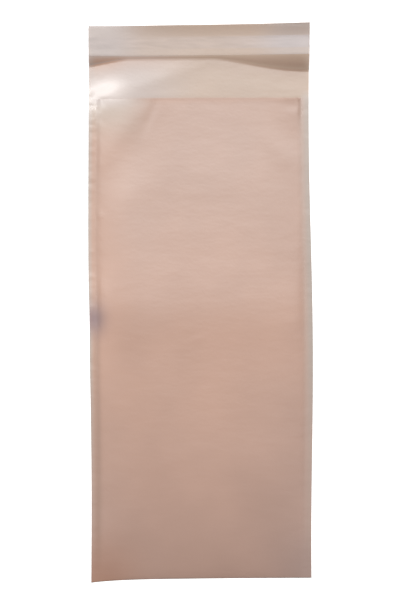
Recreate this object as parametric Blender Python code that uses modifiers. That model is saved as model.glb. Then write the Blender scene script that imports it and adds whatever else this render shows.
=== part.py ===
"""Self-seal film bag, empty and lying on its back with its flap open.

One length of film is folded at the bottom and welded down both sides, so the back panel runs on past the mouth
as the flap. An adhesive strip lies on the flap under a release liner. The film is slack: the front panel stands a
few millimetres off the back one, and the stiff lined end of the flap curls up at both sides.

Metres, +Z up. +Y points from the bottom fold to the flap. The origin is under the middle of the outline.
"""

import math

import bmesh
import bpy

MM = 0.001

# The bag's own sizes
BAG_WIDTH = 100 * MM
POCKET_LENGTH = 217 * MM  # from the bottom fold to the mouth
FLAP_LENGTH = 33.5 * MM  # from the mouth to the flap's end
FILM_THICKNESS = 0.06 * MM
WELD_WIDTH = 3 * MM

# The two strips on the flap
LINER_WIDTH = 13.8 * MM  # from the flap's end
LINER_THICKNESS = 0.06 * MM
ADHESIVE_WIDTH = 5.4 * MM
ADHESIVE_THICKNESS = 0.04 * MM
ADHESIVE_INSET = 5.3 * MM  # from the flap's end
STRIP_CLEARANCE = 0.1 * MM  # between the film, the adhesive and the liner

# How the slack film lies
PILLOW_HEIGHT = 5.5 * MM  # between the two panels, along the middle of the pocket and at its mouth
PILLOW_RISE_LENGTH = 62 * MM  # from the bottom fold to the full height
PILLOW_CROWN = 2.8  # power of the cross-section: 2 is a parabola, more is flatter on top
FOLD_ROUNDNESS = 0.72  # power of the rise from the fold: 0.5 is a round nose, 1 a sharp one

# The soft ridge across the front panel where the bag was once folded in half
RIDGE_HEIGHT = 0.8 * MM
RIDGE_DISTANCE = 123 * MM  # from the bottom fold
RIDGE_RADIUS = 5 * MM

# How the flap's lined end curls up, on the left (-X) and on the right (+X)
CURL_HEIGHT_LEFT = 2.6 * MM
CURL_LENGTH_LEFT = 24 * MM
CURL_HEIGHT_RIGHT = 3.6 * MM
CURL_LENGTH_RIGHT = 44 * MM
CURL_POWER = 1.6
CREASE_DEPTH_LEFT = 5.2 * MM  # how far the film takes to drop from the liner's edge to the crease
CREASE_DEPTH_RIGHT = 7.0 * MM
CREASE_DEPTH_LEAST = 1.0 * MM

# How finely the film is divided
POCKET_COLUMNS = 22
POCKET_ROWS = 36
POCKET_ROW_CROWDING = 1.6  # power that crowds the rows towards the bottom fold
FLAP_ROWS = 3
CREASE_ROWS = 3
BAND_ROWS = 4
STRIP_ROWS = 1

HALF_WIDTH = BAG_WIDTH / 2
HALF_POCKET = HALF_WIDTH - WELD_WIDTH
TOTAL_LENGTH = POCKET_LENGTH + FLAP_LENGTH
FOLD_Y = -TOTAL_LENGTH / 2
MOUTH_Y = FOLD_Y + POCKET_LENGTH
FLAP_END_Y = FOLD_Y + TOTAL_LENGTH
BAND_Y = FLAP_END_Y - LINER_WIDTH
MERGE_DISTANCE = FILM_THICKNESS / 10


def column_positions():
    """X of each column of the grid: one interval for each weld, and the pocket divided evenly between them."""
    pocket = [HALF_POCKET * (2 * i / POCKET_COLUMNS - 1) for i in range(POCKET_COLUMNS + 1)]
    return [-HALF_WIDTH] + pocket + [HALF_WIDTH]


def curl_share(x):
    """(share of the way along the curl, its height, its crease's depth) for the side that x is on."""
    if x < 0:
        start = HALF_WIDTH - CURL_LENGTH_LEFT
        return max(0.0, (-x - start) / CURL_LENGTH_LEFT), CURL_HEIGHT_LEFT, CREASE_DEPTH_LEFT
    start = HALF_WIDTH - CURL_LENGTH_RIGHT
    return max(0.0, (x - start) / CURL_LENGTH_RIGHT), CURL_HEIGHT_RIGHT, CREASE_DEPTH_RIGHT


def curl_height(x):
    """Height of the flap's lined end above the surface that the bag lies on."""
    share, height, _ = curl_share(x)
    return height * share**CURL_POWER


def crease_y(x):
    """Where the film that drops from the liner's edge meets the flat part of the flap: an arch across the bag."""
    share, _, depth = curl_share(x)
    return BAND_Y - CREASE_DEPTH_LEAST - depth * (1 - (1 - share) ** 2)


def ridge_height(along):
    """Extra height of the front panel: two straight slopes, from the bottom fold and the mouth, and a round top."""
    reach = RIDGE_DISTANCE if along < RIDGE_DISTANCE else POCKET_LENGTH - RIDGE_DISTANCE
    from_top = math.hypot(along - RIDGE_DISTANCE, RIDGE_RADIUS) - RIDGE_RADIUS
    return RIDGE_HEIGHT * max(0.0, 1 - from_top / reach)


def pillow_height(x, along):
    """Height of the front panel over the back one, at a distance along from the bottom fold."""
    across = max(0.0, 1 - (abs(x) / HALF_POCKET) ** PILLOW_CROWN)
    rise = (1 - (1 - min(1.0, along / PILLOW_RISE_LENGTH)) ** 2) ** FOLD_ROUNDNESS
    return across * rise * (PILLOW_HEIGHT + ridge_height(along))


def pocket_distances():
    """Distance of each row of the pocket from the bottom fold, from the fold to the mouth."""
    return [POCKET_LENGTH * (i / POCKET_ROWS) ** POCKET_ROW_CROWDING for i in range(POCKET_ROWS + 1)]


def back_point(x, along):
    return x, FOLD_Y + along, FILM_THICKNESS / 2


def front_point(x, along):
    return x, FOLD_Y + along, FILM_THICKNESS / 2 + pillow_height(x, along)


def flap_point(x, share):
    """A point between the mouth (0) and the crease (1)."""
    return x, MOUTH_Y + share * (crease_y(x) - MOUTH_Y), FILM_THICKNESS / 2


def crease_point(x, share):
    """A point between the crease (0) and the liner's edge (1), where the film climbs to the curled end."""
    climb = math.sin(share * math.pi / 2)
    return x, crease_y(x) + share * (BAND_Y - crease_y(x)), FILM_THICKNESS / 2 + climb * curl_height(x)


def band_point(x, y, above=0.0):
    """A point of the curled end of the flap, or of what lies at a height above its film's middle."""
    return x, y, FILM_THICKNESS / 2 + curl_height(x) + above


def film_rows():
    """One function of x for each row of the unfolded film, from the mouth's lip round the fold to the flap's end."""
    distances = pocket_distances()
    rows = [lambda x, d=d: front_point(x, d) for d in reversed(distances)]
    rows += [lambda x, d=d: back_point(x, d) for d in distances[1:]]
    rows += [lambda x, s=i / FLAP_ROWS: flap_point(x, s) for i in range(1, FLAP_ROWS + 1)]
    rows += [lambda x, s=i / CREASE_ROWS: crease_point(x, s) for i in range(1, CREASE_ROWS + 1)]
    band_step = LINER_WIDTH / BAND_ROWS
    rows += [lambda x, y=BAND_Y + i * band_step: band_point(x, y) for i in range(1, BAND_ROWS + 1)]
    return rows


def strip_rows(low_y, high_y, above):
    """Rows of a strip that lies over the curled end of the flap, its middle surface at a height above the film's."""
    step = (high_y - low_y) / STRIP_ROWS
    return [lambda x, y=low_y + i * step: band_point(x, y, above) for i in range(STRIP_ROWS + 1)]


def draped_grid(rows):
    """An open sheet: a flat grid with a vertex for each column and row, moved to where its row's function says."""
    columns = column_positions()
    sheet = bmesh.new()
    bmesh.ops.create_grid(sheet, x_segments=len(columns) - 1, y_segments=len(rows) - 1, size=1.0)
    for vertex in sheet.verts:
        column = round((vertex.co.x + 1) / 2 * (len(columns) - 1))
        row = round((vertex.co.y + 1) / 2 * (len(rows) - 1))
        vertex.co = rows[row](columns[column])
    return sheet


def weld_sides(sheet):
    """Joins the front panel to the back one along both welds, and leaves a single fused strip outside them."""
    front_strip = []
    for face in sheet.faces:
        middle = face.calc_center_median()
        outside = abs(middle.x) > HALF_POCKET
        if outside and middle.y < MOUTH_Y and face.normal.z < 0:
            front_strip.append(face)
    bmesh.ops.delete(sheet, geom=front_strip, context="FACES")
    bmesh.ops.remove_doubles(sheet, verts=sheet.verts, dist=MERGE_DISTANCE)


def plastic(name, color, roughness, alpha=1.0):
    material = bpy.data.materials.new(name)
    material.use_nodes = True
    shader = material.node_tree.nodes["Principled BSDF"]
    shader.inputs["Base Color"].default_value = (*color, 1.0)
    shader.inputs["Roughness"].default_value = roughness
    shader.inputs["Metallic"].default_value = 0.0
    shader.inputs["Alpha"].default_value = alpha
    material.diffuse_color = (*color, alpha)
    return material


def sheet_object(name, sheet, thickness, material, collection):
    """Gives an open sheet its thickness, half to each side."""
    mesh = bpy.data.meshes.new(name)
    sheet.normal_update()
    sheet.to_mesh(mesh)
    sheet.free()
    mesh.materials.append(material)
    piece = bpy.data.objects.new(name, mesh)
    collection.objects.link(piece)
    solidify = piece.modifiers.new("thickness", "SOLIDIFY")
    solidify.solidify_mode = "NON_MANIFOLD"
    solidify.nonmanifold_thickness_mode = "FIXED"
    solidify.nonmanifold_merge_threshold = MERGE_DISTANCE
    solidify.thickness = thickness
    solidify.offset = 0.0
    return piece


def make_film(collection):
    sheet = draped_grid(film_rows())
    sheet.normal_update()
    weld_sides(sheet)
    material = plastic("clear_film", (0.62, 0.47, 0.41), 0.28, 0.8)
    return sheet_object("bag_film", sheet, FILM_THICKNESS, material, collection)


def make_adhesive(collection):
    above = FILM_THICKNESS / 2 + STRIP_CLEARANCE + ADHESIVE_THICKNESS / 2
    high_y = FLAP_END_Y - ADHESIVE_INSET
    sheet = draped_grid(strip_rows(high_y - ADHESIVE_WIDTH, high_y, above))
    material = plastic("adhesive", (0.61, 0.56, 0.52), 0.35)
    return sheet_object("adhesive_strip", sheet, ADHESIVE_THICKNESS, material, collection)


def make_liner(collection):
    adhesive_top = FILM_THICKNESS / 2 + STRIP_CLEARANCE + ADHESIVE_THICKNESS
    above = adhesive_top + STRIP_CLEARANCE + LINER_THICKNESS / 2
    sheet = draped_grid(strip_rows(BAND_Y, FLAP_END_Y, above))
    material = plastic("liner_film", (0.66, 0.56, 0.50), 0.22, 0.6)
    return sheet_object("release_liner", sheet, LINER_THICKNESS, material, collection)


def main():
    for old in list(bpy.data.objects):
        bpy.data.objects.remove(old)
    collection = bpy.data.collections.new("self_seal_bag")
    bpy.context.scene.collection.children.link(collection)
    make_film(collection)
    make_adhesive(collection)
    make_liner(collection)


if __name__ == "__main__":
    main()
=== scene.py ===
"""The self-seal film bag as it looks: slack film, an adhesive strip and a release liner, on a white surface.

Metres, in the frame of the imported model. +Y points from the bottom fold to the flap.
"""

import math
from collections import namedtuple

import bmesh
import bpy
from bpy.props import BoolProperty, FloatProperty, FloatVectorProperty, IntProperty, PointerProperty
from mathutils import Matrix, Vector


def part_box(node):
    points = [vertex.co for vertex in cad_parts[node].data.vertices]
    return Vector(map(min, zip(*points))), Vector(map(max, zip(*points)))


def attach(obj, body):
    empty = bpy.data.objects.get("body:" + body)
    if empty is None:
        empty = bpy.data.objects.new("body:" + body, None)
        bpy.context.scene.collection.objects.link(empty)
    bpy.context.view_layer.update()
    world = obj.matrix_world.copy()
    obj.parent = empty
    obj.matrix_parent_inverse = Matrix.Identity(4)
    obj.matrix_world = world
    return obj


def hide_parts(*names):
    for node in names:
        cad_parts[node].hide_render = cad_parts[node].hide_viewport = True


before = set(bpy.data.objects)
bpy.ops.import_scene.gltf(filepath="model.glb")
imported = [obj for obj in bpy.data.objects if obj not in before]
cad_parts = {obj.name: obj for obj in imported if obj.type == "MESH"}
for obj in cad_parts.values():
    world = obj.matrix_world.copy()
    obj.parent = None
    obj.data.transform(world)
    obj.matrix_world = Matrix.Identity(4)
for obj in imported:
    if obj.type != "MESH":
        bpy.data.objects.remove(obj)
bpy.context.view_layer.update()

bl_info = {
    "name": "Self-seal film bag",
    "version": (1, 0, 0),
    "blender": (4, 5, 0),
    "location": "3D View > Sidebar > Film bag",
    "description": "Makes an empty self-seal film bag with its flap open, and a studio stage under it",
    "category": "Add Mesh",
}

MM = 0.001
FILM_LOW, FILM_HIGH = (Vector(corner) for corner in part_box("bag_film"))
LINER_LOW, LINER_HIGH = (Vector(corner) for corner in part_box("release_liner"))
ADHESIVE_LOW, ADHESIVE_HIGH = (Vector(corner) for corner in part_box("adhesive_strip"))


# Settings


def linear(code):
    """An sRGB hex colour as linear red, green and blue."""
    channels = [int(code[i : i + 2], 16) / 255 for i in (1, 3, 5)]
    return tuple(c / 12.92 if c <= 0.04045 else ((c + 0.055) / 1.055) ** 2.4 for c in channels)


def length_setting(name, description, millimetres):
    """A length that the user can change."""
    return FloatProperty(name=name, description=description, default=millimetres * MM, unit="LENGTH")


def colour_setting(name, description, code):
    """A colour that the user can change, from an sRGB hex value."""
    return FloatVectorProperty(
        name=name, description=description, default=linear(code), subtype="COLOR", min=0, max=1
    )


class FilmSettings(bpy.types.PropertyGroup):
    """Sizes and colours of the bag's film, and how it lies."""

    pocket_length: length_setting("Pocket length", "From the bottom fold to the mouth", 217)
    weld_width: length_setting("Weld width", "Of each side weld", 3)
    gauge: length_setting(
        "Film gauge", "Thickness of the film, which sets how far apart the layers lie in a weld", 0.06
    )
    pillow_height: length_setting(
        "Pillow height", "How far the slack front panel stands off the back one", 5.5
    )
    pillow_rise: length_setting(
        "Pillow rise", "Distance over which the front panel climbs from the bottom fold", 62
    )
    pillow_crown: FloatProperty(
        name="Pillow crown",
        description="Power of the pillow's cross-section: 2 is a parabola, more is flatter on top",
        default=2.8,
    )
    fold_roundness: FloatProperty(
        name="Fold roundness",
        description="Power of the climb from the bottom fold: 0.5 is a round nose, 1 a sharp one",
        default=0.64,
    )
    ridge_height: length_setting(
        "Ridge height", "Of the soft ridge where the bag was once folded in half", 1.6
    )
    ridge_distance: length_setting("Ridge distance", "From the bottom fold", 123)
    ridge_radius: length_setting("Ridge radius", "Roundness of the ridge", 5)
    crest_distance: length_setting(
        "Crest distance", "From the bottom fold to the crest that the folding left beside the ridge", 118.5
    )
    crest_height: length_setting("Crest height", "Extra height of the film along the crest", 0.32)
    crest_low: length_setting(
        "Crest reach, fold side", "How far the crest runs out towards the bottom fold", 9
    )
    crest_high: length_setting("Crest reach, mouth side", "How far the crest runs out towards the mouth", 15)
    lip_curl: length_setting("Lip curl", "How far the front panel's cut edge turns up", 0.09)
    lip_reach: length_setting("Lip reach", "Width of the turned-up edge", 2.4)
    corner_dip: length_setting("Corner dip", "How far the lower left corner is drawn out", 1.6)
    corner_reach: length_setting("Corner reach", "How far the drawn-out corner runs in", 14)
    sway_left: length_setting("Left sway", "How far the left side bows out and in", 0.4)
    sway_right: length_setting("Right sway", "How far the right side bows out and in", 0.65)
    sway_length: length_setting("Sway length", "From one bow of a side to the next", 195)
    pinch: length_setting(
        "Pinch", "How far the left side is drawn in where the bag was folded hardest", 0.25
    )
    pinch_reach: length_setting("Pinch reach", "Half-length of the drawn-in side", 9)
    pucker_pitch: length_setting("Pucker pitch", "Between the puckers along a weld", 6)
    pucker_depth: length_setting("Pucker depth", "Height of the puckers", 0.16)
    pucker_reach: length_setting("Pucker reach", "How far the puckers run in from a weld", 9)
    ripple_pitch: length_setting(
        "Weld ripple pitch", "About half the distance from one ripple of a weld to the next", 1.7
    )
    ripple_depth: length_setting("Weld ripple depth", "Height of the ripples of the left weld", 0.36)
    ripple_depth_right: length_setting(
        "Right weld ripple depth", "Height of the ripples of the right weld", 0.1
    )
    wave_across: length_setting("Wave length across", "Of the slack waves, along X", 42)
    wave_along: length_setting("Wave length along", "Of the slack waves, along Y", 17)
    wave_depth: length_setting("Wave depth", "Height of the slack waves", 0.1)
    seed: IntProperty(name="Seed", description="Of the puckers, the ripples and the waves", default=4)
    tint: colour_setting("Film tint", "Colour of two layers of the film at the mouth", "#AB8C7C")
    tint_middle: colour_setting(
        "Middle film tint", "Colour of two layers of the film halfway down, where it is warmest", "#B38F7D"
    )
    tint_low: colour_setting(
        "Low film tint", "Colour of two layers of the film at the bottom fold", "#A8897B"
    )
    tint_single: colour_setting("Single film tint", "Colour of one layer of the film, in the flap", "#A58D7A")
    tint_single_left: colour_setting(
        "Left single film tint", "The same at the flap's left side, which catches cooler light", "#A29188"
    )
    tint_weld: colour_setting("Weld tint", "Colour of the fused film in the side welds", "#A2948A")
    # Painted sheen: a lighter colour on the film below the left end of the mouth, where the window's
    # highlight spills over the lip
    tint_painted_sheen: colour_setting(
        "Lip tint", "Colour of the stretched film at the left end of the mouth", "#9F8B7B"
    )
    # Painted shade: a dark line along the left weld, where the pillow's flank turns down to it
    tint_seam_shade: colour_setting("Seam tint", "Colour of the line along the left weld", "#8F7362")
    # Painted shade: the crease tints darken the flap's film where it climbs steeply to the lined end, a
    # little warmer at the left
    tint_crease_shade: colour_setting(
        "Crease tint", "Colour of the flap's film where it climbs steeply to the lined end", "#937764"
    )
    tint_crease_shade_left: colour_setting("Left crease tint", "The same at the flap's left side", "#A67F68")
    # Painted shade: a darker tint in the dent where the bag was folded hardest
    tint_dent_shade: colour_setting(
        "Crushed film tint", "Colour of the film where it was folded hardest", "#8C7675"
    )
    # Painted shade: the dim tints darken the bottom corners and the right side's lower half, the left corner
    # warmer
    tint_dim_shade: colour_setting(
        "Dim tint", "Colour of the film at the bottom corners, where its layers press together", "#967D73"
    )
    tint_dim_shade_left: colour_setting("Left dim tint", "The same at the left corner, which is warmer", "#98705C")


class FlapSettings(bpy.types.PropertyGroup):
    """How the lined end of the flap curls up, and the colours of its two strips."""

    curl_left: length_setting("Left curl", "Height of the flap's left corner", 2.6)
    curl_left_length: length_setting("Left curl length", "In from the left edge", 19)
    curl_right: length_setting("Right curl", "Height of the flap's right corner", 3.6)
    curl_right_length: length_setting("Right curl length", "In from the right edge", 44)
    curl_power: FloatProperty(name="Curl power", description="How late the curl climbs", default=1.6)
    crease_left: length_setting(
        "Left crease depth", "How far the film takes to drop from the liner's edge at the left", 3.0
    )
    crease_right: length_setting(
        "Right crease depth", "How far the film takes to drop from the liner's edge at the right", 5.7
    )
    crease_least: length_setting(
        "Least crease depth", "The same in the middle, where the flap lies flat", 1.5
    )
    bow_start: FloatProperty(
        name="Crease start", description="Power of how softly the crease leaves the liner's edge", default=1.6
    )
    bow_left: FloatProperty(
        name="Left crease bow",
        description="Power of the crease's path at the left: 1 is straight, 2 an arch",
        default=1.3,
    )
    bow_right: FloatProperty(
        name="Right crease bow",
        description="Power of the crease's path at the right: 1 is straight, 2 an arch",
        default=2.3,
    )
    band_lift: length_setting("Band lift", "How far the stiff lined end stands above the flap's film", 0.3)
    end_curl: length_setting("End curl", "How far the flap's cut end turns up", 0.6)
    end_reach: length_setting("End reach", "Width of the turned-up end", 6.5)
    end_curl_right: length_setting(
        "Right end curl", "How much further the cut end turns up at its right corner", 1.4
    )
    end_start: length_setting(
        "End curl start", "X at which the end begins to turn up; it lies flat to the left of this", -42
    )
    end_skew: length_setting(
        "End skew", "How far the flap's end lies further out at the right than in the middle", 0.4
    )
    clearance: length_setting("Strip clearance", "Between the film, the adhesive and the liner", 0.1)
    adhesive_tint: colour_setting("Adhesive tint", "Colour of the adhesive in the middle", "#BAADA8")
    adhesive_tint_right: colour_setting(
        "Right adhesive tint",
        "Colour of the adhesive towards its right end, where it is thicker and milkier",
        "#C3BCBF",
    )
    liner_tint: colour_setting("Liner tint", "Colour of the release liner in the middle", "#C2AC9B")
    liner_tint_ends: colour_setting(
        "Liner end tint",
        "Colour of the release liner towards both ends, where it stands off and catches cooler light",
        "#C0B3AD",
    )


class StageSettings(bpy.types.PropertyGroup):
    """The surface, the light and the camera."""

    camera_height: FloatProperty(
        name="Camera height", description="Above the bag", default=1.4, unit="LENGTH"
    )
    photo_scale: length_setting(
        "Photograph scale", "Length on the bag that one pixel of the 600-pixel-high photograph covers", 0.4525
    )
    camera_turn: FloatProperty(
        name="Camera turn",
        description="How far the bag lies turned in the picture",
        default=math.radians(0.35),
        subtype="ANGLE",
    )
    strip_power: FloatProperty(
        name="Window strength", description="Radiance of the wide soft light", default=22.0
    )
    strip_length: FloatProperty(name="Window length", description="Along X", default=5.0, unit="LENGTH")
    strip_width: FloatProperty(
        name="Window width", description="Of the wide soft light", default=0.235, unit="LENGTH"
    )
    strip_place: FloatVectorProperty(
        name="Window place",
        description="Middle of the wide soft light",
        default=(0, 0.56, 1.75),
        unit="LENGTH",
    )
    world_strength: FloatProperty(name="World strength", description="Of the even fill light", default=0.12)
    floor_glow: FloatProperty(
        name="Floor glow",
        description="Added to the white surface where the camera or a reflection sees it",
        default=0.3,
    )
    floor_reach: FloatProperty(
        name="Floor reach",
        description="From the bag's middle to the floor's side",
        default=1.6,
        unit="LENGTH",
    )
    floor_gap: length_setting("Floor gap", "Between the surface and the film", 0.02)
    show_floor: BoolProperty(name="Floor", description="Put the white surface under the bag", default=True)


# Nodes and meshes


def add_node(tree, kind, links=None, **settings):
    """Adds a node, gives it its settings, and links or sets each named or numbered input."""
    node = tree.nodes.new(kind)
    for name, value in settings.items():
        setattr(node, name, value)
    for key, value in (links or {}).items():
        if isinstance(value, bpy.types.NodeSocket):
            tree.links.new(value, node.inputs[key])
        else:
            node.inputs[key].default_value = value
    return node


def new_material(name):
    """An empty material and its output node."""
    material = bpy.data.materials.new(name)
    material.use_nodes = True
    material.node_tree.nodes.clear()
    output = add_node(material.node_tree, "ShaderNodeOutputMaterial")
    return material, material.node_tree, output


def blended(tree, value, start, full, low, high):
    """A colour that is low where the value is at its start, and changes smoothly to high where it is full."""
    share = add_node(
        tree,
        "ShaderNodeMapRange",
        {"Value": value, "From Min": start, "From Max": full},
        interpolation_type="SMOOTHSTEP",
    )
    colours = {"Factor": share.outputs["Result"], "A": low, "B": high}
    return add_node(tree, "ShaderNodeMix", colours, data_type="RGBA").outputs["Result"]


# One row of a sheet: the function that places its points, and for the film how far the row is from the bottom
# fold and how much of it is slack, a single layer, welded at its sides, and in the painted shade of the
# flap's crease
Row = namedtuple("Row", "place distance slack single welded climb", defaults=(0.0,) * 5)


def draped_sheet(columns, rows, marks=()):
    """A smooth open sheet with a vertex for each column and row, placed by its row's function of x.

    Each of the marks is an attribute worked out from (x, row).
    """
    sheet = bmesh.new()
    across, along = len(columns) - 1, len(rows) - 1
    bmesh.ops.create_grid(sheet, x_segments=across, y_segments=along, size=1.0)
    layers = [sheet.verts.layers.float.new(mark) for mark, _ in marks]
    for vertex in sheet.verts:
        column = round((vertex.co.x + 1) / 2 * across)
        row = round((vertex.co.y + 1) / 2 * along)
        x = columns[column]
        for layer, (_, worked_out) in zip(layers, marks):
            vertex[layer] = worked_out(x, rows[row])
        vertex.co = rows[row].place(x)
    for face in sheet.faces:
        face.smooth = True
    return sheet


def sheet_object(name, sheet, material):
    mesh = bpy.data.meshes.new(name)
    sheet.to_mesh(mesh)
    sheet.free()
    mesh.materials.append(material)
    piece = bpy.data.objects.new(name, mesh)
    bpy.context.scene.collection.objects.link(piece)
    return piece


def even_steps(low, high, step):
    """Positions from low to high, both included, about a step apart."""
    count = max(1, round((high - low) / step))
    return [low + (high - low) * i / count for i in range(count + 1)]


def smooth_share(value, low, high):
    """0 at low, 1 at high, and a smooth change between them. Low may be the larger of the two."""
    share = max(0.0, min(1.0, (value - low) / (high - low)))
    return share * share * (3 - 2 * share)


# The shape of the film

HALF_WIDTH = (FILM_HIGH.x - FILM_LOW.x) / 2
FOLD_Y = FILM_LOW.y
FLAP_END_Y = FILM_HIGH.y
BAND_Y = LINER_LOW.y

FINE_STEP = 1.1 * MM
CLOSE_STEP = FINE_STEP / 2  # between the columns by the welds, and between the rows of the two strips
NOSE_ROWS = 12  # rows crowded round the bottom fold
NOSE_LENGTH = 10.5 * MM
NOSE_CROWDING = 1.5  # power that crowds them
FLAP_STEPS = 18
CREASE_STEPS = 8

SLACK_RISE = 0.5  # share of the pillow's rise over which its waves and puckers grow full
FLAP_SLACK = 0.4  # share of the waves and puckers that the flap has
WELD_FADE = 0.3  # share of the flap over which the welds' ripples die out
CREASE_EASE = 0.5  # how much steeper the film starts to climb than it does on average

# Widths of a weld over which the crest and the lip's curl die out towards it
CREST_FADE = 2
# The lip lies flat at the left end of the mouth, and turns up between these two places
LIP_CURL_START = -0.85 * HALF_WIDTH
LIP_CURL_FULL = -0.35 * HALF_WIDTH
# The flap's end turns up in full at this share of the X at which it starts to
END_CURL_FULL = 0.25
# and begins to turn up further at this X, towards its right corner
RIGHT_END_START = HALF_WIDTH / 2

# Each side bows out and in about a middle that lies a little outside the true edge. The bows of the two sides
# are apart by twice this turn.
SWAY_TURN = 0.64
SWAY_REST = 0.3
SWAY_POWER = 3  # how late the sway sets in towards the sides
SKEW_POWER = 3  # how late the flap's skew sets in towards its end

# The left side is drawn in here, where the bag was folded hardest
PINCH_Y = -7.5 * MM

# A soft fold or dent in the slack film: a smooth hump, or a hollow where its height is negative. Its
# half-length is measured along its own direction, turned from +X, and its half-widths across it: ahead
# (towards +Y where it is not turned) and behind. It lifts the front panel only, or all the film there.
FoldMark = namedtuple("FoldMark", "x y long ahead behind height turn front_only")


def fold_mark(x, y, long, ahead, behind, height, turn=0, front_only=True):
    """A fold mark from millimetres and degrees."""
    sizes = [size * MM for size in (x, y, long, ahead, behind, height)]
    return FoldMark(*sizes, math.radians(turn), front_only)


FOLD_MARKS = (
    # The film stands up at the left end of the mouth, where the flap catches the window
    fold_mark(-45, 77, 8.5, 12, 110, 1.0, turn=10, front_only=False),
    fold_mark(-42.5, 93.3, 5.5, 3.3, 9, 0.36, turn=20, front_only=False),
    fold_mark(-49, 84, 4, 4.5, 14, 0.36, front_only=False),
    fold_mark(-30, 91, 14, 8, 12, 0.24, turn=20, front_only=False),
    # The front panel's lip rides up a little over that stand
    fold_mark(-41.5, 92.5, 7.5, 3, 5, 0.16, turn=12),
    # Two folds that run down from there to the left weld
    fold_mark(-36.5, 75.5, 16, 7, 4.5, 0.36, turn=50),
    fold_mark(-28, 50, 10, 5, 5, 0.08, turn=40),
    # A short sharp crease across the mouth, left of the middle
    fold_mark(-21.5, 85.5, 6, 1.2, 1.2, -0.14, turn=68),
    # The mouth gapes a little, most at its right end, above a fold that runs down to the right weld
    fold_mark(8, 95, 34, 6, 9, 0.28),
    fold_mark(42, 93, 7, 6, 10, 0.34),
    fold_mark(37.5, 67, 9, 5, 4, 0.11, turn=-50),
    # A faint bend across the flap, left of the middle
    fold_mark(-16, 102, 12, 3.5, 2.5, 0.07, turn=19, front_only=False),
    # A dent in the right end of the mouth's lip
    fold_mark(41.5, 88.5, 3, 1.6, 1.6, -0.07),
    # The left end of the ridge, where the bag was folded hardest
    fold_mark(-42, -1, 7, 9, 6, 0.16),
    fold_mark(-48, -3, 4.5, 10, 4.2, 0.45, front_only=False),
    # Small nicks by the left weld and below the ridge
    fold_mark(-46, 39, 2.5, 0.9, 0.9, 0.08),
    fold_mark(-1, -17, 2.2, 0.9, 0.9, 0.04, turn=25),
    fold_mark(-6, -12, 2.5, 0.9, 0.9, 0.03, turn=-10),
)


def columns_across(film):
    """X of each column, finer next to the welds."""
    half_pocket = HALF_WIDTH - film.weld_width
    near = half_pocket - film.weld_width
    right = even_steps(0, near, FINE_STEP)
    right += even_steps(near, half_pocket, CLOSE_STEP)[1:]
    right += even_steps(half_pocket, HALF_WIDTH, CLOSE_STEP)[1:]
    return [-x for x in reversed(right[1:])] + right


def curl(flap, x):
    """(height of the flap's curled end, depth of its crease) at x."""
    if x < 0:
        length, height = flap.curl_left_length, flap.curl_left
        depth, bow = flap.crease_left, flap.bow_left
    else:
        length, height = flap.curl_right_length, flap.curl_right
        depth, bow = flap.crease_right, flap.bow_right
    share = max(0.0, (abs(x) - HALF_WIDTH + length) / length)
    drop = flap.crease_least + depth * (1 - max(0.0, 1 - share**flap.bow_start) ** bow)
    return flap.band_lift + height * share**flap.curl_power, drop


def band_height(flap, x, y):
    """Height of the flap's lined end above the film that lies flat."""
    turned = max(0.0, (y - FLAP_END_Y + flap.end_reach) / flap.end_reach) ** 2
    most = flap.end_curl * smooth_share(x, flap.end_start, flap.end_start * END_CURL_FULL)
    most += flap.end_curl_right * smooth_share(x, RIGHT_END_START, HALF_WIDTH)
    return curl(flap, x)[0] + most * turned


def pillow_height(film, x, along):
    """Height of the front panel over the back one, at a distance along from the bottom fold."""
    half_pocket = HALF_WIDTH - film.weld_width
    across = max(0.0, 1 - (abs(x) / half_pocket) ** film.pillow_crown)
    rise = (1 - (1 - min(1.0, along / film.pillow_rise)) ** 2) ** film.fold_roundness
    from_ridge = along - film.ridge_distance
    reach = film.ridge_distance if from_ridge < 0 else film.pocket_length - film.ridge_distance
    from_top = math.hypot(from_ridge, film.ridge_radius) - film.ridge_radius
    ridge = film.ridge_height * max(0.0, 1 - from_top / reach)
    free = smooth_share(half_pocket - abs(x), 0, CREST_FADE * film.weld_width)
    from_crest = along - film.crest_distance
    crest_reach = film.crest_low if from_crest < 0 else film.crest_high
    crest = film.crest_height * math.exp(-((from_crest / crest_reach) ** 2) / 2)
    lip = film.lip_curl * max(0.0, 1 - (film.pocket_length - along) / film.lip_reach) ** 2
    lip *= smooth_share(x, LIP_CURL_START, LIP_CURL_FULL)
    return across * rise * (film.pillow_height + ridge) + free * (crest + lip)


def mark_height(mark, x, y):
    """Height of one fold mark at a point."""
    cosine, sine = math.cos(mark.turn), math.sin(mark.turn)
    along = ((x - mark.x) * cosine + (y - mark.y) * sine) / mark.long
    across = (y - mark.y) * cosine - (x - mark.x) * sine
    across /= mark.ahead if across > 0 else mark.behind
    return mark.height * math.exp(-(along**2 + across**2) / 2)


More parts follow.
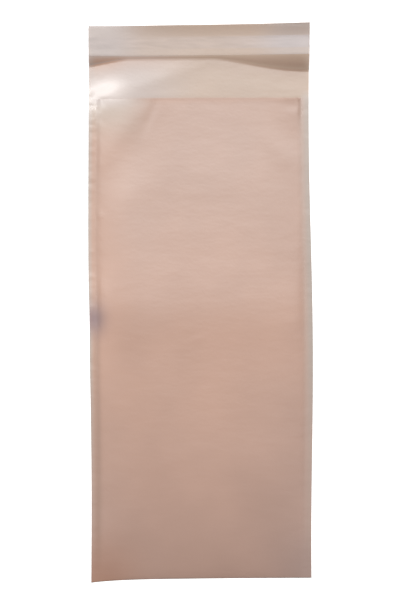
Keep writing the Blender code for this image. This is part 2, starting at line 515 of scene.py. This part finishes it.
def settled(film, flap, x, y, z, front):
    """Where a point of the neatly laid film ends up, by its fold marks and its untrue sides and ends."""
    half_pocket = HALF_WIDTH - film.weld_width
    in_pocket = smooth_share(half_pocket - abs(x), 0, film.weld_width)
    lift = 0.0
    for mark in FOLD_MARKS:
        if front and mark.front_only:
            lift += in_pocket * mark_height(mark, x, y)
        elif not mark.front_only:
            lift += mark_height(mark, x, y)
    phase = 2 * math.pi * y / film.sway_length
    if x < 0:
        pinch = film.pinch * math.exp(-(((y - PINCH_Y) / film.pinch_reach) ** 2) / 2)
        sway = pinch - film.sway_left * (math.cos(phase - SWAY_TURN) + SWAY_REST)
    else:
        sway = film.sway_right * (math.cos(phase + SWAY_TURN) + SWAY_REST)
    edge_share = (abs(x) / HALF_WIDTH) ** SWAY_POWER
    above_mouth = max(0.0, (y - FOLD_Y - film.pocket_length) / (FLAP_END_Y - FOLD_Y - film.pocket_length))
    skew = flap.end_skew * x / HALF_WIDTH * above_mouth**SKEW_POWER
    from_corner = math.hypot(x + HALF_WIDTH, y - FOLD_Y) / film.corner_reach
    dip = film.corner_dip * math.exp(-from_corner)
    return x + sway * edge_share, y + skew - dip, z + lift


def film_rows(film, flap):
    """Each row of the unfolded film, from the mouth's lip round the fold to the flap's end."""
    base = FILM_LOW.z + film.gauge / 2
    mouth = film.pocket_length
    mouth_y = FOLD_Y + mouth
    nose = [NOSE_LENGTH * (i / NOSE_ROWS) ** NOSE_CROWDING for i in range(NOSE_ROWS + 1)]
    distances = nose + even_steps(NOSE_LENGTH, mouth, FINE_STEP)[1:]

    def front(distance):
        def place(x):
            height = base + film.gauge + pillow_height(film, x, distance)
            return settled(film, flap, x, FOLD_Y + distance, height, True)

        return place

    def back(distance):
        return lambda x: settled(film, flap, x, FOLD_Y + distance, base, False)

    def open_flap(share):
        def place(x):
            crease_y = BAND_Y - curl(flap, x)[1]
            return settled(film, flap, x, mouth_y + share * (crease_y - mouth_y), base, False)

        return place

    def crease(share):
        def place(x):
            height, depth = curl(flap, x)
            climb = share * (1 + CREASE_EASE * (1 - share))
            return settled(film, flap, x, BAND_Y - depth * (1 - share), base + climb * height, False)

        return place

    def band(y):
        return lambda x: settled(film, flap, x, y, base + band_height(flap, x, y), False)

    rows = []
    for distance in reversed(distances[1:]):
        slack = smooth_share(distance, 0, film.pillow_rise * SLACK_RISE)
        rows.append(Row(front(distance), distance, slack=slack, welded=1.0))
    for distance in distances:
        rows.append(Row(back(distance), distance, welded=1.0))
    for step in range(1, FLAP_STEPS + 1):
        share = step / FLAP_STEPS
        held = max(0.0, 1 - share / WELD_FADE)
        # Painted shade of the crease, which the flat film already carries just before it
        shade = FORE_SHADE * max(0.0, (share - FORE_START) / (1 - FORE_START)) ** 2
        rows.append(Row(open_flap(share), mouth, slack=FLAP_SLACK, single=1.0, welded=held, climb=shade))
    for step in range(1, CREASE_STEPS + 1):
        share = step / CREASE_STEPS
        shade = smooth_share(share, 0, CREASE_SOFTNESS) * (1 - CREASE_FADE * share**2)
        rows.append(Row(crease(share), mouth, single=1.0, climb=shade))
    for y in even_steps(BAND_Y, FLAP_END_Y, FINE_STEP)[1:]:
        rows.append(Row(band(y), mouth, single=1.0))
    return rows


# What the film's material is told of each place

# Painted shade darkens the dent where the bag was folded hardest, round this X
DENT_SHADE_X = -48.2 * MM
DENT_SHADE_HALF_WIDTH = 3.8 * MM
DENT_SHADE_HALF_LENGTH = 5.0 * MM

# Shares of a weld's width, out from its inner edge: where its ripples start and are full, where its milky
# look starts at the left and at the right, and where the crease's painted shade begins to fade towards the
# side
RIPPLES_START, RIPPLES_FULL = -0.25, 0.5
MILK_LEFT, MILK_RIGHT = 0.25, -0.75
PALENESS_START = -0.25

# The milky look of the welds fades towards the bottom fold, between these distances from it
MILK_LOW, MILK_HIGH = 20 * MM, 110 * MM
LEAST_MILK = 0.4

# The painted shade of the crease, where the film climbs to the flap's lined end
FORE_SHADE = 1.0  # how much of it the flat film has just before the crease
FORE_START = 0.4  # where on the way from the mouth to the crease that begins
CREASE_SOFTNESS = 0.35  # share of the crease over which its own shade sets in
CREASE_FADE = 0.9  # how much of the shade is gone at the liner's edge
EDGE_PALENESS = 0.6  # how much of the shade is gone at the sides of the bag
LEAST_STEEPNESS = 0.25  # added to the steepness, as even a shallow climb is in some shade
LEFT_CREASE_SHARE = 0.85  # the shade at the flap's left end, as a share of that at its right end

# Within the first distance of the mouth the film takes on a painted sheen, and within the second it is
# painted lighter with the tint of a single layer; both stand in for the window's highlight there. Both do so
# only at the left end of the mouth, from one X to the other.
LIP_SHEEN_REACH = 24 * MM
LIP_BLEND_REACH = 6 * MM
LIP_SHEEN_START = -0.36 * HALF_WIDTH
LIP_SHEEN_FULL = -0.78 * HALF_WIDTH

# Painted light: the film is paler along its left side, from this X outwards. The distances from the bottom
# fold
# are where that starts and is full: on the way up from the fold, and on the way down from the mouth.
PALE_START = -0.5 * HALF_WIDTH
PALE_LOW = (60 * MM, 125 * MM)
PALE_HIGH = (214 * MM, 200 * MM)

# A painted shade runs as a dark line along the left weld, just outside its inner edge, where the pillow's
# flank turns down. It sets in below the mouth over the first two distances from the bottom fold, and grows
# darker over the other two.
SEAM_OUTWARD = 0.1 * MM
SEAM_HALF_WIDTH = 1.1 * MM
SEAM_HIGH = (205 * MM, 178 * MM)
SEAM_LOW = (140 * MM, 115 * MM)
SEAM_SHARE = 0.24
LOW_SEAM_SHARE = 0.55

# Painted shade: the film is dimmer within this distance of the bottom fold, from this place out to each
# corner
DIM_REACH = 30 * MM
DIM_START = 0.4 * HALF_WIDTH
DIM_LEFT_SHARE = 0.85
# and, by a smaller share, all along the right side of the lower half
DIM_RIGHT_START = 120 * MM
DIM_RIGHT_FULL = 60 * MM
DIM_RIGHT_SHARE = 0.3


def steepness(flap, x):
    """How steeply the film climbs to the flap's lined end, as a share of the steepest place."""
    height, depth = curl(flap, x)
    steepest, longest = curl(flap, HALF_WIDTH)
    return min(1.0, LEAST_STEEPNESS + height / depth * longest / steepest)


def dimness(x, distance):
    """How much painted shade dims the film at x, at a distance from the bottom fold."""
    corner = smooth_share(distance, DIM_REACH, 0) * smooth_share(abs(x), DIM_START, HALF_WIDTH)
    right = smooth_share(distance, DIM_RIGHT_START, DIM_RIGHT_FULL) * smooth_share(x, 0, HALF_WIDTH)
    if x < 0:
        return DIM_LEFT_SHARE * corner
    return corner + DIM_RIGHT_SHARE * right * (1 - corner)


def dent_shade_share(x, distance):
    """How much painted shade darkens the dent of the hard fold at the film's left side."""
    across = (x - DENT_SHADE_X) / DENT_SHADE_HALF_WIDTH
    along = (FOLD_Y + distance - PINCH_Y) / DENT_SHADE_HALF_LENGTH
    return math.exp(-(across**2 + along**2) / 2)


def paleness(x, distance):
    """How much painted light makes the film paler at x, at a distance from the bottom fold."""
    along = smooth_share(distance, *PALE_LOW) * smooth_share(distance, *PALE_HIGH)
    return smooth_share(x, PALE_START, -HALF_WIDTH) * along


def seam_shade(film, x, distance):
    """How dark the painted shade along the left weld is at x, at a distance from the bottom fold."""
    across = (x + HALF_WIDTH - film.weld_width + SEAM_OUTWARD) / SEAM_HALF_WIDTH
    low, high = smooth_share(distance, *SEAM_LOW), smooth_share(distance, *SEAM_HIGH)
    return (SEAM_SHARE + (LOW_SEAM_SHARE - SEAM_SHARE) * low) * high * math.exp(-(across**2) / 2)


def lip_sheen(film, x, distance, reach):
    """How much the film within a reach of the mouth is painted lighter, which it is at the left end only."""
    near_lip = smooth_share(distance, film.pocket_length - reach, film.pocket_length)
    return near_lip * smooth_share(x, LIP_SHEEN_START, LIP_SHEEN_FULL)


def film_marks(film, flap):
    """The film's attributes: for each its name, and a function of (x, row)."""
    half_pocket = HALF_WIDTH - film.weld_width

    def in_weld(x, start, full=1.0):
        """0 to 1 on the way out over a side weld, between two shares of its width."""
        inner = half_pocket + start * film.weld_width
        outer = half_pocket + full * film.weld_width
        return smooth_share(abs(x), inner, outer)

    def milk(x, row):
        along = LEAST_MILK + (1 - LEAST_MILK) * smooth_share(row.distance, MILK_LOW, MILK_HIGH)
        return along * row.welded * in_weld(x, MILK_LEFT if x <= 0 else MILK_RIGHT)

    # The crease's painted shade, weaker at the flap's left end and over the welds
    def climb(x, row):
        share = LEFT_CREASE_SHARE if x < 0 else 1.0
        return row.climb * steepness(flap, x) * share * (1 - EDGE_PALENESS * in_weld(x, PALENESS_START))

    return (
        ("slack", lambda x, row: row.slack),
        # By the left end of the mouth, the single layer's tint and the sheen's tint are painted light on the
        # two layers
        ("single", lambda x, row: max(row.single, lip_sheen(film, x, row.distance, LIP_BLEND_REACH))),
        ("sheen", lambda x, row: (1 - row.single) * lip_sheen(film, x, row.distance, LIP_SHEEN_REACH)),
        ("climb", climb),
        ("weld", lambda x, row: row.welded * in_weld(x, RIPPLES_START, RIPPLES_FULL)),
        ("milk", milk),
        ("dim", lambda x, row: dimness(x, row.distance)),
        ("dent_shade", lambda x, row: dent_shade_share(x, row.distance)),
        ("pale", lambda x, row: (1 - row.single) * paleness(x, row.distance)),
        ("seam_shade", lambda x, row: (1 - row.single) * seam_shade(film, x, row.distance)),
    )


# The film


class BAG_OT_film(bpy.types.Operator):
    """Makes the film: front panel, back panel and flap in one folded and welded sheet"""

    bl_idname = "bag.film"
    bl_label = "Film"

    def execute(self, context):
        film, flap = context.scene.bag_film, context.scene.bag_flap
        sheet = draped_sheet(columns_across(film), film_rows(film, flap), film_marks(film, flap))
        material = film_material(film)
        piece = sheet_object("film_bag", sheet, material)
        slacken(piece, film, material)
        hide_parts("bag_film")
        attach(piece, "root")
        return {"FINISHED"}


# The film calms down towards the bottom fold, to this share of its puckers and ripples
CALM_SHARE = 0.25
# The puckers run in from the welds at a slant: how far they drop for each length that they run in
PUCKER_SLANT = 0.8
# How finely each kind of slack is broken up
PUCKER_DETAIL = 1.0
WAVE_DETAIL = 2.0
RIPPLE_DETAIL = 1.0


def slacken(piece, film, material):
    """Puckers the film along its welds, ripples the welds and lays slow waves in the panels.

    Geometry Nodes lift each point of the film, which is then made a plain mesh again.
    """
    tree = bpy.data.node_groups.new("film_slack", "GeometryNodeTree")
    values = {
        "Pocket half width": HALF_WIDTH - film.weld_width,
        "Weld width": film.weld_width,
        "Pucker pitch": film.pucker_pitch,
        "Pucker depth": film.pucker_depth,
        "Pucker reach": film.pucker_reach,
        "Ripple pitch": film.ripple_pitch,
        "Ripple depth": film.ripple_depth,
        "Right ripple depth": film.ripple_depth_right,
        "Wave length across": film.wave_across,
        "Wave length along": film.wave_along,
        "Wave depth": film.wave_depth,
        "Calm end": FOLD_Y,
        "Lively end": FOLD_Y + film.pocket_length,
        "Seed": float(film.seed),
    }
    tree.interface.new_socket("Film", in_out="INPUT", socket_type="NodeSocketGeometry")
    tree.interface.new_socket("Material", in_out="INPUT", socket_type="NodeSocketMaterial")
    for name in values:
        tree.interface.new_socket(name, in_out="INPUT", socket_type="NodeSocketFloat")
    tree.interface.new_socket("Film", in_out="OUTPUT", socket_type="NodeSocketGeometry")
    given = add_node(tree, "NodeGroupInput").outputs
    position = add_node(tree, "GeometryNodeInputPosition").outputs["Position"]
    place = add_node(tree, "ShaderNodeSeparateXYZ", {"Vector": position}).outputs
    slack = add_node(tree, "GeometryNodeInputNamedAttribute", {"Name": "slack"}, data_type="FLOAT").outputs[0]
    weld = add_node(tree, "GeometryNodeInputNamedAttribute", {"Name": "weld"}, data_type="FLOAT").outputs[0]
    side = add_node(tree, "ShaderNodeMath", {0: place["X"]}, operation="ABSOLUTE").outputs[0]
    inward = add_node(
        tree, "ShaderNodeMath", {0: given["Pocket half width"], 1: side}, operation="SUBTRACT"
    ).outputs[0]
    # The film is held by the weld, and moves freely a weld's width in from it. It calms down towards the
    # bottom fold.
    held = add_node(
        tree,
        "ShaderNodeMapRange",
        {"Value": inward, "From Min": 0.0, "From Max": given["Weld width"]},
        interpolation_type="SMOOTHSTEP",
    ).outputs[0]
    near = add_node(
        tree,
        "ShaderNodeMapRange",
        {"Value": inward, "From Min": given["Pucker reach"], "From Max": 0.0},
        interpolation_type="SMOOTHSTEP",
    ).outputs[0]
    lively = add_node(
        tree,
        "ShaderNodeMapRange",
        {
            "Value": place["Y"],
            "From Min": given["Calm end"],
            "From Max": given["Lively end"],
            "To Min": CALM_SHARE,
        },
    ).outputs[0]
    slanted = add_node(
        tree, "ShaderNodeMath", {0: inward, 1: PUCKER_SLANT, 2: place["Y"]}, operation="MULTIPLY_ADD"
    ).outputs[0]
    # Each kind of slack is a noise, stretched across the bag and along it.
    patterns = (
        ("Pucker reach", slanted, "Pucker pitch", PUCKER_DETAIL),
        ("Wave length across", place["Y"], "Wave length along", WAVE_DETAIL),
        ("Pucker reach", place["Y"], "Ripple pitch", RIPPLE_DETAIL),
    )
    noises = []
    for reach, along, pitch, detail in patterns:
        x = add_node(tree, "ShaderNodeMath", {0: place["X"], 1: given[reach]}, operation="DIVIDE").outputs[0]
        y = add_node(tree, "ShaderNodeMath", {0: along, 1: given[pitch]}, operation="DIVIDE").outputs[0]
        where = add_node(tree, "ShaderNodeCombineXYZ", {"X": x, "Y": y, "Z": given["Seed"]}).outputs[0]
        noise = add_node(tree, "ShaderNodeTexNoise", {"Vector": where, "Scale": 1.0, "Detail": detail})
        noises.append(noise.outputs["Fac"])
    pucker, wave, ripple = noises
    pucker_rise = near
    for factor in (lively, given["Pucker depth"], pucker):
        factors = {0: pucker_rise, 1: factor}
        pucker_rise = add_node(tree, "ShaderNodeMath", factors, operation="MULTIPLY").outputs[0]
    slack_rise = add_node(
        tree, "ShaderNodeMath", {0: wave, 1: given["Wave depth"], 2: pucker_rise}, operation="MULTIPLY_ADD"
    ).outputs[0]
    free = add_node(tree, "ShaderNodeMath", {0: held, 1: slack}, operation="MULTIPLY").outputs[0]
    panel_rise = add_node(tree, "ShaderNodeMath", {0: slack_rise, 1: free}, operation="MULTIPLY").outputs[0]
    # A weld ripples along its length, both layers together.
    ripple_depth = add_node(
        tree,
        "ShaderNodeMapRange",
        {
            "Value": place["X"],
            "From Min": 0.0,
            "From Max": given["Pocket half width"],
            "To Min": given["Ripple depth"],
            "To Max": given["Right ripple depth"],
        },
    ).outputs[0]
    ripple_most = weld
    for factor in (lively, ripple_depth):
        factors = {0: ripple_most, 1: factor}
        ripple_most = add_node(tree, "ShaderNodeMath", factors, operation="MULTIPLY").outputs[0]
    rise = add_node(
        tree, "ShaderNodeMath", {0: ripple, 1: ripple_most, 2: panel_rise}, operation="MULTIPLY_ADD"
    ).outputs[0]
    offset = add_node(tree, "ShaderNodeCombineXYZ", {"Z": rise}).outputs[0]
    moved = add_node(tree, "GeometryNodeSetPosition", {"Geometry": given["Film"], "Offset": offset})
    real = add_node(tree, "GeometryNodeRealizeInstances", {"Geometry": moved.outputs[0]})
    dressed = add_node(
        tree, "GeometryNodeSetMaterial", {"Geometry": real.outputs[0], "Material": given["Material"]}
    )
    add_node(tree, "NodeGroupOutput", {"Film": dressed.outputs[0]})
    modifier = piece.modifiers.new("film_slack", "NODES")
    modifier.node_group = tree
    for socket in tree.interface.items_tree:
        if socket.in_out == "INPUT" and socket.name in values:
            modifier[socket.identifier] = values[socket.name]
        elif socket.in_out == "INPUT" and socket.name == "Material":
            modifier[socket.identifier] = material
    evaluated = piece.evaluated_get(bpy.context.evaluated_depsgraph_get())
    mesh = bpy.data.meshes.new_from_object(evaluated)
    piece.modifiers.remove(modifier)
    piece.data = mesh


# Where the film is warmest, as a share of the way from the bottom fold to the mouth
WARMEST_SHARE = 0.42

# The colours of the left side blend in between these two places
LEFTWARD_START = 0.1 * HALF_WIDTH
LEFTWARD_FULL = -0.6 * HALF_WIDTH

# How much brighter the painted light along the left side makes the film, and how far its uneven density
# darkens and brightens it
PALE_SHARE = 0.2
DENSITY_LOW, DENSITY_HIGH = 0.91, 1.09

# From one patch of uneven density to the next
MOTTLE_SIZE = 25 * MM

# The haze of the film is too fine to show, so it is drawn this coarse
HAZE_SIZE = 1.4 * MM

# Size of the crinkles along X, Y and Z, and their height in times that of the haze
CRINKLE_SIZE = (12 * MM, 5 * MM, 12 * MM)
CRINKLE_SHARE = 3.0


def film_material(film):
    """Blown polyethylene film, tinted and slightly hazy: a soft sheen over a colour that reads as milky."""
    material, tree, output = new_material("polyethylene_film")
    place = add_node(tree, "ShaderNodeTexCoord").outputs["Object"]
    part = add_node(tree, "ShaderNodeSeparateXYZ", {"Vector": place}).outputs
    # The colour of two layers changes from the bottom fold to the warmest place, and from there to the mouth.
    mouth_y = FOLD_Y + film.pocket_length
    middle_y = FOLD_Y + film.pocket_length * WARMEST_SHARE
    colour = blended(tree, part["Y"], FOLD_Y, middle_y, (*film.tint_low, 1), (*film.tint_middle, 1))
    colour = blended(tree, part["Y"], middle_y, mouth_y, colour, (*film.tint, 1))
    # Each attribute then brings in its own tint, which may be another one at the left side. The tints of the
    # lip's sheen, of the line along the left weld, of the crease, of the dim places and of the hard fold are
    # painted light and shade; near the left end of the mouth the single layer's tint is painted light as
    # well.
    tints = (
        ("sheen", film.tint_painted_sheen, None),
        ("single", film.tint_single, film.tint_single_left),
        ("milk", film.tint_weld, None),
        ("seam_shade", film.tint_seam_shade, None),
        ("climb", film.tint_crease_shade, film.tint_crease_shade_left),
        ("dim", film.tint_dim_shade, film.tint_dim_shade_left),
        ("dent_shade", film.tint_dent_shade, None),
    )
    for attribute, tint, left_tint in tints:
        own = (*tint, 1)
        if left_tint is not None:
            own = blended(tree, part["X"], LEFTWARD_START, LEFTWARD_FULL, own, (*left_tint, 1))
        share = add_node(tree, "ShaderNodeAttribute", attribute_name=attribute).outputs["Fac"]
        colour = add_node(
            tree, "ShaderNodeMix", {"Factor": share, "A": colour, "B": own}, data_type="RGBA"
        ).outputs["Result"]
    mottle = add_node(tree, "ShaderNodeTexNoise", {"Vector": place, "Scale": 1 / MOTTLE_SIZE, "Detail": 2.0})
    density = add_node(
        tree,
        "ShaderNodeMapRange",
        {"Value": mottle.outputs["Fac"], "To Min": DENSITY_LOW, "To Max": DENSITY_HIGH},
    )
    # Painted light along the left side brightens the film
    pale = add_node(tree, "ShaderNodeAttribute", attribute_name="pale")
    value = add_node(
        tree,
        "ShaderNodeMath",
        {0: pale.outputs["Fac"], 1: PALE_SHARE, 2: density.outputs["Result"]},
        operation="MULTIPLY_ADD",
    )
    shown = add_node(tree, "ShaderNodeHueSaturation", {"Color": colour, "Value": value.outputs[0]})
    haze = add_node(tree, "ShaderNodeTexNoise", {"Vector": place, "Scale": 1 / HAZE_SIZE, "Detail": 3.0})
    crinkle_scale = [1 / size for size in CRINKLE_SIZE]
    drawn = add_node(tree, "ShaderNodeMapping", {"Vector": place, "Scale": crinkle_scale})
    crinkles = add_node(
        tree, "ShaderNodeTexNoise", {"Vector": drawn.outputs["Vector"], "Scale": 1.0, "Detail": 2.0}
    )
    relief = add_node(
        tree,
        "ShaderNodeMath",
        {0: crinkles.outputs["Fac"], 1: CRINKLE_SHARE, 2: haze.outputs["Fac"]},
        operation="MULTIPLY_ADD",
    )
    bump = add_node(
        tree, "ShaderNodeBump", {"Height": relief.outputs[0], "Distance": 0.03 * MM, "Strength": 1.0}
    )
    shader = add_node(
        tree,
        "ShaderNodeBsdfPrincipled",
        {
            "Base Color": shown.outputs["Color"],
            "Roughness": 0.4,
            "IOR": 1.55,
            "Alpha": 0.92,
            "Coat Weight": 1.0,
            "Coat Roughness": 0.24,
            "Normal": bump.outputs["Normal"],
        },
    )
    tree.links.new(shader.outputs["BSDF"], output.inputs["Surface"])
    return material


# The two strips on the flap


class BAG_OT_adhesive(bpy.types.Operator):
    """Makes the adhesive strip on the flap"""

    bl_idname = "bag.adhesive"
    bl_label = "Adhesive strip"

    def execute(self, context):
        film, flap = context.scene.bag_film, context.scene.bag_flap
        above = film.gauge + flap.clearance
        reach = (ADHESIVE_LOW.y, ADHESIVE_HIGH.y)
        piece = strip_on_band(film, flap, "adhesive_band", reach, above, adhesive_material(flap))
        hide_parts("adhesive_strip")
        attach(piece, "root")
        return {"FINISHED"}


def strip_on_band(film, flap, name, reach, above, material):
    """A strip across the curled end of the flap, at a height above the film's underside."""

    def across(y):
        return lambda x: settled(film, flap, x, y, FILM_LOW.z + above + band_height(flap, x, y), False)

    rows = [Row(across(y)) for y in even_steps(*reach, CLOSE_STEP)]
    return sheet_object(name, draped_sheet(columns_across(film), rows), material)


# Where the adhesive begins to turn milky, and where it is milkiest
MILKY_START = 0.1 * HALF_WIDTH
MILKY_FULL = 0.6 * HALF_WIDTH

# Streaks from the coating blade: their size along X, Y and Z, and how much they dim and brighten the adhesive
STREAK_SIZE = (9 * MM, 1.2 * MM, 9 * MM)
THIN_COAT, THICK_COAT = 0.5, 1.5

# From one ripple of the coating to the next
COAT_RIPPLE = 6 * MM


def adhesive_material(flap):
    """Acrylic adhesive laid on as a thin wet film: milky, smooth and a little glossy under its liner."""
    material, tree, output = new_material("acrylic_adhesive")
    place = add_node(tree, "ShaderNodeTexCoord").outputs["Object"]
    x = add_node(tree, "ShaderNodeSeparateXYZ", {"Vector": place}).outputs["X"]
    middle, right = (*flap.adhesive_tint, 1), (*flap.adhesive_tint_right, 1)
    tone = blended(tree, x, MILKY_START, MILKY_FULL, middle, right)
    streak_scale = [1 / size for size in STREAK_SIZE]
    drawn = add_node(tree, "ShaderNodeMapping", {"Vector": place, "Scale": streak_scale})
    streaks = add_node(
        tree, "ShaderNodeTexNoise", {"Vector": drawn.outputs["Vector"], "Scale": 1.0, "Detail": 2.0}
    )
    thickness = add_node(
        tree,
        "ShaderNodeMapRange",
        {"Value": streaks.outputs["Fac"], "To Min": THIN_COAT, "To Max": THICK_COAT},
    )
    coat = add_node(tree, "ShaderNodeHueSaturation", {"Color": tone, "Value": thickness.outputs["Result"]})
    ripple = add_node(tree, "ShaderNodeTexNoise", {"Vector": place, "Scale": 1 / COAT_RIPPLE, "Detail": 2.0})
    bump = add_node(tree, "ShaderNodeBump", {"Height": ripple.outputs["Fac"], "Distance": 0.05 * MM})
    shader = add_node(
        tree,
        "ShaderNodeBsdfPrincipled",
        {
            "Base Color": coat.outputs["Color"],
            "Roughness": 0.4,
            "IOR": 1.47,
            "Alpha": 0.75,
            "Normal": bump.outputs["Normal"],
        },
    )
    tree.links.new(shader.outputs["BSDF"], output.inputs["Surface"])
    return material


class BAG_OT_liner(bpy.types.Operator):
    """Makes the release liner that covers the adhesive"""

    bl_idname = "bag.liner"
    bl_label = "Release liner"

    def execute(self, context):
        film, flap = context.scene.bag_film, context.scene.bag_flap
        thickness = LINER_HIGH.z - LINER_LOW.z - flap.curl_right
        above = film.gauge + 2 * flap.clearance + thickness / 2
        reach = (LINER_LOW.y, LINER_HIGH.y)
        piece = strip_on_band(film, flap, "liner_strip", reach, above, liner_material(flap))
        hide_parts("release_liner")
        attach(piece, "root")
        return {"FINISHED"}


# How far from the middle the liner begins to stand off at its ends and take on their painted cooler light,
# and where it does so in full
LINER_ENDS_START = 0.45 * HALF_WIDTH
LINER_ENDS_FULL = 0.8 * HALF_WIDTH

# From one ripple of the liner to the next
LINER_RIPPLE = 9 * MM


def liner_material(flap):
    """Siliconised polypropylene release film: clear, smooth and glossier than the bag."""
    material, tree, output = new_material("release_film")
    place = add_node(tree, "ShaderNodeTexCoord").outputs["Object"]
    x = add_node(tree, "ShaderNodeSeparateXYZ", {"Vector": place}).outputs["X"]
    side = add_node(tree, "ShaderNodeMath", {0: x}, operation="ABSOLUTE").outputs[0]
    middle, ends = (*flap.liner_tint, 1), (*flap.liner_tint_ends, 1)
    tone = blended(tree, side, LINER_ENDS_START, LINER_ENDS_FULL, middle, ends)
    ripple = add_node(tree, "ShaderNodeTexNoise", {"Vector": place, "Scale": 1 / LINER_RIPPLE, "Detail": 1.0})
    bump = add_node(tree, "ShaderNodeBump", {"Height": ripple.outputs["Fac"], "Distance": 0.08 * MM})
    shader = add_node(
        tree,
        "ShaderNodeBsdfPrincipled",
        {
            "Base Color": tone,
            "Roughness": 0.33,
            "IOR": 1.49,
            "Alpha": 0.45,
            "Coat Weight": 0.5,
            "Coat Roughness": 0.3,
            "Normal": bump.outputs["Normal"],
        },
    )
    tree.links.new(shader.outputs["BSDF"], output.inputs["Surface"])
    return material


# The stage

BOARD_TINT = "#F2F2F2"

# Height of the picture, and where the bag's middle lies in it from its centre, right and down: all in pixels
PICTURE_HEIGHT = 600
PICTURE_SHIFT = (0.3, 1.7)

# Width of the camera's sensor, in millimetres, which is a usual one
SENSOR_WIDTH = 36.0


class BAG_OT_stage(bpy.types.Operator):
    """Makes the white surface, the window light and the camera"""

    bl_idname = "bag.stage"
    bl_label = "Stage"

    def execute(self, context):
        stage = context.scene.bag_stage
        if stage.show_floor:
            make_floor(stage)
        make_light(stage)
        make_fill(stage)
        make_camera(stage)
        context.scene.view_settings.view_transform = "Standard"
        return {"FINISHED"}


def make_floor(stage):
    """A wide white surface just under the bag."""
    sheet = bmesh.new()
    bmesh.ops.create_grid(sheet, x_segments=2, y_segments=2, size=stage.floor_reach)
    bmesh.ops.translate(sheet, verts=sheet.verts, vec=(0, 0, FILM_LOW.z - stage.floor_gap))
    floor = sheet_object("white_surface", sheet, floor_material(stage))


def floor_material(stage):
    """Matt white board: it takes the bag's shadow, and is plain white to the camera and in reflections."""
    material, tree, output = new_material("white_board")
    rays = add_node(tree, "ShaderNodeLightPath").outputs
    shown = rays["Is Camera Ray"]
    for ray in ("Is Glossy Ray", "Is Transmission Ray"):
        shown = add_node(tree, "ShaderNodeMath", {0: shown, 1: rays[ray]}, operation="MAXIMUM").outputs[0]
    glow = add_node(tree, "ShaderNodeMath", {0: shown, 1: stage.floor_glow}, operation="MULTIPLY")
    board = add_node(
        tree,
        "ShaderNodeBsdfPrincipled",
        {
            "Base Color": (*linear(BOARD_TINT), 1),
            "Roughness": 0.9,
            "Specular IOR Level": 0.1,
            "Emission Color": (1, 1, 1, 1),
            "Emission Strength": glow.outputs[0],
        },
    )
    tree.links.new(board.outputs["BSDF"], output.inputs["Surface"])
    return material


def make_light(stage):
    """A wide window-like strip beyond the flap."""
    strip = bpy.data.lights.new("window_strip", "AREA")
    strip.shape = "RECTANGLE"
    strip.size = stage.strip_length
    strip.size_y = stage.strip_width
    # An area light's watts are its radiance times its area times pi.
    strip.energy = stage.strip_power * strip.size * strip.size_y * math.pi
    lamp = bpy.data.objects.new("window_strip", strip)
    lamp.location = stage.strip_place
    # It leans towards the bag about its own long axis only, so that it stays parallel to the bag's ends.
    lamp.rotation_euler = (-math.atan2(lamp.location.y, lamp.location.z), 0, 0)
    lamp.visible_camera = False
    bpy.context.scene.collection.objects.link(lamp)


def make_fill(stage):
    """An even fill from all round, which the camera sees as plain white."""
    world = bpy.data.worlds.new("even_fill")
    world.use_nodes = True
    tree = world.node_tree
    tree.nodes.clear()
    rays = add_node(tree, "ShaderNodeLightPath")
    strength = add_node(
        tree,
        "ShaderNodeMapRange",
        {"Value": rays.outputs["Is Camera Ray"], "To Min": stage.world_strength, "To Max": 1.0},
    )
    background = add_node(
        tree, "ShaderNodeBackground", {"Color": (1, 1, 1, 1), "Strength": strength.outputs["Result"]}
    )
    add_node(tree, "ShaderNodeOutputWorld", {"Surface": background.outputs["Background"]})
    bpy.context.scene.world = world


def make_camera(stage):
    """A long lens straight above the bag."""
    lens = bpy.data.cameras.new("camera")
    lens.sensor_width = SENSOR_WIDTH
    lens.lens = lens.sensor_width * stage.camera_height / (PICTURE_HEIGHT * stage.photo_scale)
    camera = bpy.data.objects.new("camera", lens)
    across, down = (shift * stage.photo_scale for shift in PICTURE_SHIFT)
    camera.location = (-across, down, stage.camera_height)
    camera.rotation_euler = (0, 0, -stage.camera_turn)
    bpy.context.scene.collection.objects.link(camera)
    bpy.context.scene.camera = camera


# The add-on


class BAG_PT_pieces(bpy.types.Panel):
    """Lists the pieces in the sidebar"""

    bl_idname = "BAG_PT_pieces"
    bl_label = "Film bag"
    bl_space_type = "VIEW_3D"
    bl_region_type = "UI"
    bl_category = "Film bag"

    def draw(self, context):
        for operator in PIECES:
            self.layout.operator(operator.bl_idname)


PIECES = (BAG_OT_film, BAG_OT_adhesive, BAG_OT_liner, BAG_OT_stage)
SETTINGS = {"bag_film": FilmSettings, "bag_flap": FlapSettings, "bag_stage": StageSettings}


def register():
    for group in SETTINGS.values():
        bpy.utils.register_class(group)
    for name, group in SETTINGS.items():
        setattr(bpy.types.Scene, name, PointerProperty(type=group))
    for piece in (*PIECES, BAG_PT_pieces):
        bpy.utils.register_class(piece)


def unregister():
    for piece in (*PIECES, BAG_PT_pieces):
        bpy.utils.unregister_class(piece)
    for name, group in SETTINGS.items():
        delattr(bpy.types.Scene, name)
        bpy.utils.unregister_class(group)


def main():
    register()
    bpy.ops.bag.film()
    bpy.ops.bag.adhesive()
    bpy.ops.bag.liner()
    bpy.ops.bag.stage()


if __name__ == "__main__":
    main()
